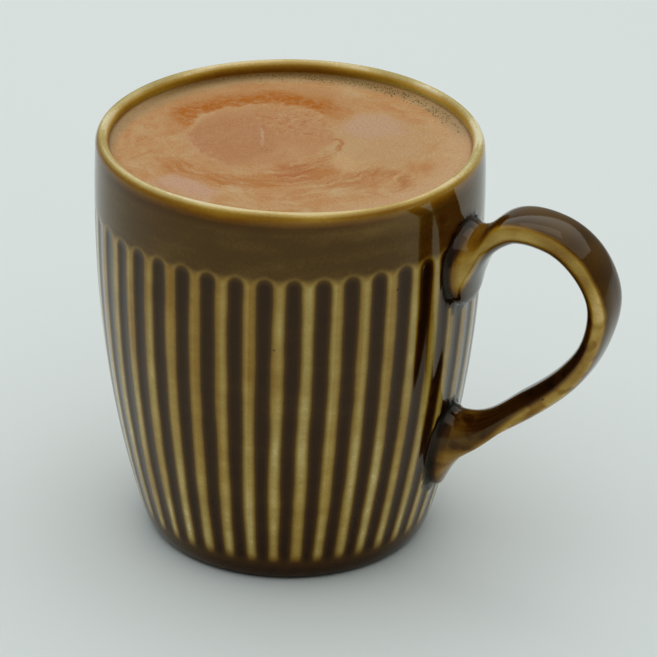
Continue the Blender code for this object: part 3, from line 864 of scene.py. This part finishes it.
def arc(centre, inner, outer, soft, towards, spread, fade, widened=1.0, place="folded"):
    """A mask along part of a ring, with its two edges' softness, its middle and half its angle."""
    direction = (math.cos(math.radians(towards)), math.sin(math.radians(towards)), 0.0)
    least = math.cos(math.radians(min(spread + fade, 180.0)))
    most = math.cos(math.radians(max(spread - fade, 0.0)))
    return add_steps(tree, dict(known), (
        ("off", "VectorMath SUBTRACT", place, (*centre, 0.0)),
        ("shaped", "VectorMath DIVIDE", "off", (widened, 1.0, 1.0)),
        ("length", "VectorMath LENGTH", "shaped"),
        ("way", "VectorMath NORMALIZE", "shaped"),
        ("facing", "VectorMath DOT_PRODUCT", "way", direction),
        ("past inner", "Ease", "length", inner - soft[0], inner + soft[0]),
        ("before outer", "Ease", "length", outer + soft[1], outer - soft[1]),
        ("in ring", "Math MULTIPLY", "past inner", "before outer"),
        ("in angle", "Ease", "facing", least, most),
        ("mask", "Math MULTIPLY", "in ring", "in angle")))["mask"]


for name, place, per_mm, detail, distortion in (("marble", flat, 0.085, 5.0, 2.2),
                                                ("curdle", wander(flat, 0.5, 2.0), 0.62, 3.0, 0.6)):
    known[name] = add_node(tree, "TexNoise", None, {
        "Vector": place, "Scale": per_mm, "Detail": detail, "Roughness": 0.6,
        "Distortion": distortion}, "Fac")
for name in ("rim_foam", "rim_shade"):
    known[name] = add_node(tree, "Attribute", {"attribute_name": name}, None, "Fac")
pore_cell = add_node(tree, "TexVoronoi", links={"Vector": flat, "Scale": 1.35})
known["pore distance"], known["pore colour"] = pore_cell.outputs["Distance"], pore_cell.outputs["Color"]
add_steps(tree, known, (
    # streaks that follow the spoon round
    ("around swirl", "VectorMath SUBTRACT", "folded", (-3.5, 0.5, 0.0)),
    ("way round", "VectorMath NORMALIZE", "around swirl"),
    ("way round in mm", "VectorMath MULTIPLY", "way round", (2.6, 2.6, 0.0)),
    ("way out", "VectorMath LENGTH", "around swirl"),
    ("way out shortened", "Math MULTIPLY", "way out", 0.9),
    ("way out upright", "CombineXYZ", 0.0, 0.0, "way out shortened"),
    ("streak place", "VectorMath ADD", "way round in mm", "way out upright"),
    ("streaks", "TexNoise", "streak place", 0.0, 1.0, 5.0, 0.62),
    ("cloud", "TexNoise", "folded", 0.0, 0.11, 4.0, 0.55),
    ("froth", "TexNoise", "flat", 0.0, 1.9, 3.0, 0.75),
    ("brown marble", "Ease", "marble", 0.50, 0.66),
    ("pale marble", "Ease", "marble", 0.44, 0.32),
    ("streaky", "Ease", "streaks", 0.36, 0.60),
    ("brown streaks", "Ease", "streaks", 0.50, 0.70),
    ("pale streaks", "Ease", "streaks", 0.46, 0.28),
    ("front streaks", "Ease", "streaks", 0.34, 0.60, 0.20, 1.0),
    ("disc froth", "Ease", "froth", 0.2, 0.6, 0.6, 1.0),
    ("disc curdle", "Ease", "curdle", 0.35, 0.62, 0.45, 1.0),
    ("pale curdle", "Ease", "curdle", 0.56, 0.66),
    ("brown curdle", "Ease", "curdle", 0.47, 0.38),
    ("cocoa curdle", "Ease", "curdle", 0.36, 0.60, 0.55, 1.0),
    ("cocoa froth", "Ease", "froth", 0.25, 0.6, 0.75, 1.0),
    ("rim froth", "Ease", "froth", 0.3, 0.62, 0.45, 1.0),
    ("foam", "Ease", "rim_foam", 0.0, 0.6),
    ("thick foam", "Ease", "rim_foam", 0.35, 1.0),
    ("from middle", "VectorMath LENGTH", "flat"),
    ("wet line", "Ease", "from middle", 38.5, 39.1),
    ("pore core", "Ease", "pore distance", 0.30, 0.12),
    ("pore lot", "SeparateColor", "pore colour"),
    ("pore limit", "Ease", "rim_foam", 0.0, 0.5, 0.95, 0.5),
    ("pore kept", "Math GREATER_THAN", "pore lot", "pore limit"),
    ("pore strength", "Ease", "rim_foam", 0.0, 1.0, 0.35, 0.75),
    ("froth light", "Ease", "froth", 0.25, 0.75, 0.865, 1.185),
    ("froth tint", "CombineColor", "froth light", "froth light", "froth light")))

colour = add_node(tree, "ValToRGB", {"stops": (
    (0.32, "b78250"), (0.5, "bb8d5f"), (0.68, "c09a70"))}, (known["cloud"],), 0)
# the layers over it, in order: a colour, its strength, and the masks that say where it lies
layers = (
    ("ad733f", 0.45, "brown marble"),
    ("c4a27c", 0.40, "pale marble"),
    ("ad6f3a", 0.38, "brown streaks"),
    ("c6a57f", 0.34, "pale streaks"),
    # the pale field on the right, the pinkish patches of plain milk foam, a light arc behind
    ("ba936a", 0.8, spot((19.0, 3.0), (11.0, 13.0), 0.45)),
    ("bb9478", 0.75, spot((18.0, 10.5), (6.5, 6.5), 0.30)),
    ("bf947a", 0.85, arc((0.0, 0.0), 28.6, 34.6, (1.2, 2.0), 227.0, 12.0, 5.0)),
    ("bb9169", 0.6, arc((-3.0, 0.0), 29.5, 32.5, (1.0, 1.6), 95.0, 40.0, 14.0), "streaky"),
    # the drinking side's chocolate streaks
    ("ab6c33", 0.68, arc((-8.0, -2.0), 14.5, 20.5, (2.2, 1.0), 268.0, 62.0, 14.0, 1.15), "front streaks"),
    ("a7653a", 0.8, spot((0.5, -14.0), (5.0, 5.0), 0.5), "streaky"),
    ("a9703f", 0.9, arc((19.0, -20.0), 4.0, 7.5, (1.6, 1.6), 80.0, 120.0, 30.0), "streaky"),
    ("ad7544", 0.6, spot((11.0, -19.0), (8.0, 4.0), 0.5), "streaky"),
    ("a96f3e", 0.5, spot((7.0, -8.5), (2.2, 5.0), 0.5), "streaky"),
    ("c59b6e", 0.6, spot((12.0, -9.3), (3.6, 4.2), 0.6)),
    # the stirred disc, darker to the left, inside a thin pale margin
    ("b48157", 0.7, spot((-6.5, 4.5), (15.5, 15.0), 0.08), "disc froth"),
    ("a8714a", 0.62, spot((-12.6, 2.0), (9.8, 11.6), 0.30), "disc curdle"),
    ("c09a74", 0.6, spot((-0.5, 11.5), (10.5, 8.0), 0.35), "pale curdle"),
    ("a76c3c", 0.6, spot((0.0, 11.0), (9.5, 8.5), 0.4), "brown curdle"),
    ("bc9069", 0.55, arc((-6.5, 3.5), 15.4, 16.8, (0.5, 0.7), 205.0, 62.0, 20.0)),
    ("a86d3c", 0.8, arc((9.2, 0.2), 2.4, 3.5, (0.4, 0.6), 20.0, 95.0, 25.0, 0.62)),
    ("c6a17c", 0.6, arc((0.0, 0.0), 33.0, 42.0, (2.5, 2.0), 332.0, 45.0, 15.0)),
    ("c2a087", 0.55, arc((-19.0, 3.0), 13.0, 13.5, (0.3, 0.3), 4.0, 14.0, 12.0, place="smooth fold")),
    ("9c6a40", 0.6, arc((-4.6, -3.4), 0.5, 0.9, (0.3, 0.3), 100.0, 120.0, 30.0, place="smooth fold")),
    # the dark crescent of cocoa behind the disc, crisp in front and trailing off behind
    ("b07a46", 0.45, arc((-5.0, 3.0), 23.0, 31.0, (2.0, 4.0), 105.0, 50.0, 20.0)),
    ("a65c00", 1.0, arc((-5.0, 3.0), 18.8, 24.6, (0.8, 2.6), 103.0, 56.0, 15.0),
     "cocoa curdle", "cocoa froth"),
    # the rim: greyer coarse foam at the back, darkened there by painted shade from the back wall, and a thin
    # wet line against the glaze
    ("9a8563", 0.85, "foam", "rim froth"),
    # painted shade of the back wall over the thick foam
    ("40301c", 0.85, "thick foam", "rim_shade", "rim froth"),
    ("7d5426", 0.5, "wet line"),
    # the open pores of burst bubbles
    ("5f4424", "pore strength", "pore core", "pore kept"))
for layer, factor, *masks in layers:
    factor, *masks = [known[value] if isinstance(value, str) else value for value in (factor, *masks)]
    for mask in masks:
        factor = add_node(tree, "Math", {"operation": "MULTIPLY"}, (factor, mask), 0)
    colour = add_node(tree, "Mix", {"data_type": "RGBA"}, {
        "Factor": factor, 6: colour, 7: linear(layer)}, 2)
colour = add_node(tree, "Mix", {"data_type": "RGBA", "blend_type": "MULTIPLY"}, {
    "Factor": 1.0, 6: colour, 7: known["froth tint"]}, 2)
bump = add_node(tree, "Bump", None, {
    "Strength": 0.3, "Distance": 0.07 * MM, "Height": known["froth"]}, 0)
shader = add_node(tree, "BsdfPrincipled", None, {
    "Base Color": colour, "Roughness": 0.32, "IOR": 1.34, "Specular IOR Level": 0.3, "Normal": bump}, 0)
add_node(tree, "OutputMaterial", links={"Surface": shader})

mocha.data.materials.append(crema)
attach(mocha, "root")
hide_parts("mocha")

# ---------------------------------------------------------------- rim bubbles
# A band of small bubbles that the frother left in the crema, driven against the far wall. Each
# is a thin dome of milk film, and the dark drink shows through it.
scatter_values = {"Apart": 0.23 * MM, "Per square metre": 1.1e7, "Smallest": 0.05 * MM,
                  "Largest": 0.19 * MM, "Sunk": 0.35, "Seed": 11}
scatter, given = new_geometry_tree("bubble_scatter", scatter_values)
where = add_node(scatter, "GeometryNodeInputNamedAttribute", {"data_type": "FLOAT"}, {"Name": "bubbly"}, 0)
dots = add_node(scatter, "GeometryNodeDistributePointsOnFaces", {"distribute_method": "POISSON"}, {
    "Mesh": given["Geometry"], "Distance Min": given["Apart"], "Density Max": given["Per square metre"],
    "Density Factor": where, "Seed": given["Seed"]}, 0)
size = add_node(scatter, "FunctionNodeRandomValue", {"data_type": "FLOAT"}, {
    2: given["Smallest"], 3: given["Largest"], "Seed": given["Seed"]}, 1)
dome = add_node(scatter, "GeometryNodeMeshUVSphere", None, {"Segments": 8, "Rings": 5, "Radius": 1.0}, 0)
known = add_steps(scatter, {"size": size, "share sunk": given["Sunk"]}, (
    ("sunk", "Math MULTIPLY", "size", "share sunk"),
    ("drop", "Math MULTIPLY", "sunk", -1.0),
    ("offset", "CombineXYZ", 0.0, 0.0, "drop")))
lowered = add_node(scatter, "GeometryNodeSetPosition", None, {"Geometry": dots, "Offset": known["offset"]}, 0)
domes = add_node(scatter, "GeometryNodeInstanceOnPoints", None, {
    "Points": lowered, "Instance": dome, "Scale": size}, 0)
solid = add_node(scatter, "GeometryNodeRealizeInstances", None, (domes,), 0)

# A wet film over the dark drink: smooth enough for a small bright glint on each bubble.
film, tree, surface = new_material("bubble_film")
mottle = add_node(tree, "TexNoise", None, {
    "Vector": surface, "Scale": 1.1 / MM, "Detail": 3.0, "Roughness": 0.5}, "Fac")
colour = add_node(tree, "ValToRGB", {"stops": ((0.35, "594628"), (0.65, "8d7248"))}, (mottle,), 0)
shader = add_node(tree, "BsdfPrincipled", None, {
    "Base Color": colour, "Roughness": 0.12, "IOR": 1.34}, 0)
add_node(tree, "OutputMaterial", links={"Surface": shader})

coated = add_node(scatter, "GeometryNodeSetMaterial", None, {"Geometry": solid, "Material": film}, 0)
add_node(scatter, "NodeGroupOutput", links=(coated,))
bubbles = bpy.data.objects.new("rim_bubbles", mocha.data.copy())
bpy.context.scene.collection.objects.link(bubbles)
run_tree(bubbles, scatter, scatter_values)
bubbles.data.polygons.foreach_set("use_smooth", np.ones(len(bubbles.data.polygons), bool))
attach(bubbles, "root")
